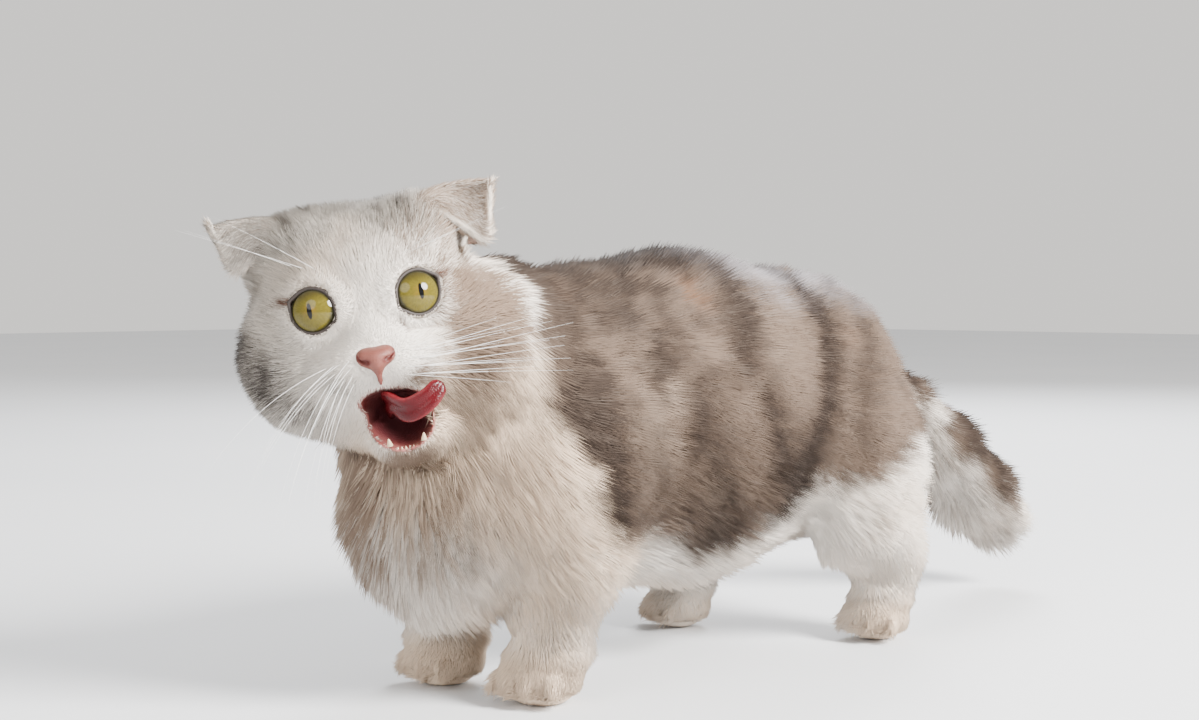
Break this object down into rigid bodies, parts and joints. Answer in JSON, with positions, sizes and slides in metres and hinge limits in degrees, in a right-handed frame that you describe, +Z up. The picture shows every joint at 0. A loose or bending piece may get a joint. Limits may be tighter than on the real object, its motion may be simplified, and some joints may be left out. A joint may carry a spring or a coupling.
{
  "type": "munchkin cat",
  "caption": "Short-legged folded-ear cat, white with a grey-brown tabby saddle, standing with its head turned to its left, licking its lip. Still, life-size model.",
  "frame": {"origin": "bottom centre of the model's box, on the floor the paws stand on", "axes": "+Z up, -Y the way the body faces, +X the cat's left"},
  "size_m": [0.14, 0.5226, 0.207],
  "materials": {
    "light_coat": "short dense white fur",
    "tabby_coat": "short dense grey-brown striped fur",
    "nose_leather": "moist pink skin",
    "mouth_flesh": "wet red skin",
    "tooth": "smooth ivory",
    "eye": "clear and wet over a yellow-green iris"
  },
  "bodies": {
    "root": {"torso": "tabby_coat", "neck": "light_coat", "head": "light_coat", "lower_jaw": "light_coat", "ear_left": "light_coat", "ear_right": "light_coat", "eye_left": "eye", "eye_right": "eye", "nose": "nose_leather", "tongue": "mouth_flesh", "tooth_lower_left": "tooth", "tooth_lower_right": "tooth", "foreleg_left": "light_coat", "foreleg_right": "light_coat", "forepaw_left": "light_coat", "forepaw_right": "light_coat", "hindleg_left": "light_coat", "hindleg_right": "light_coat", "hindpaw_left": "light_coat", "hindpaw_right": "light_coat", "tail_root": "tabby_coat", "tail_end": "tabby_coat"}
  },
  "joints": []
}
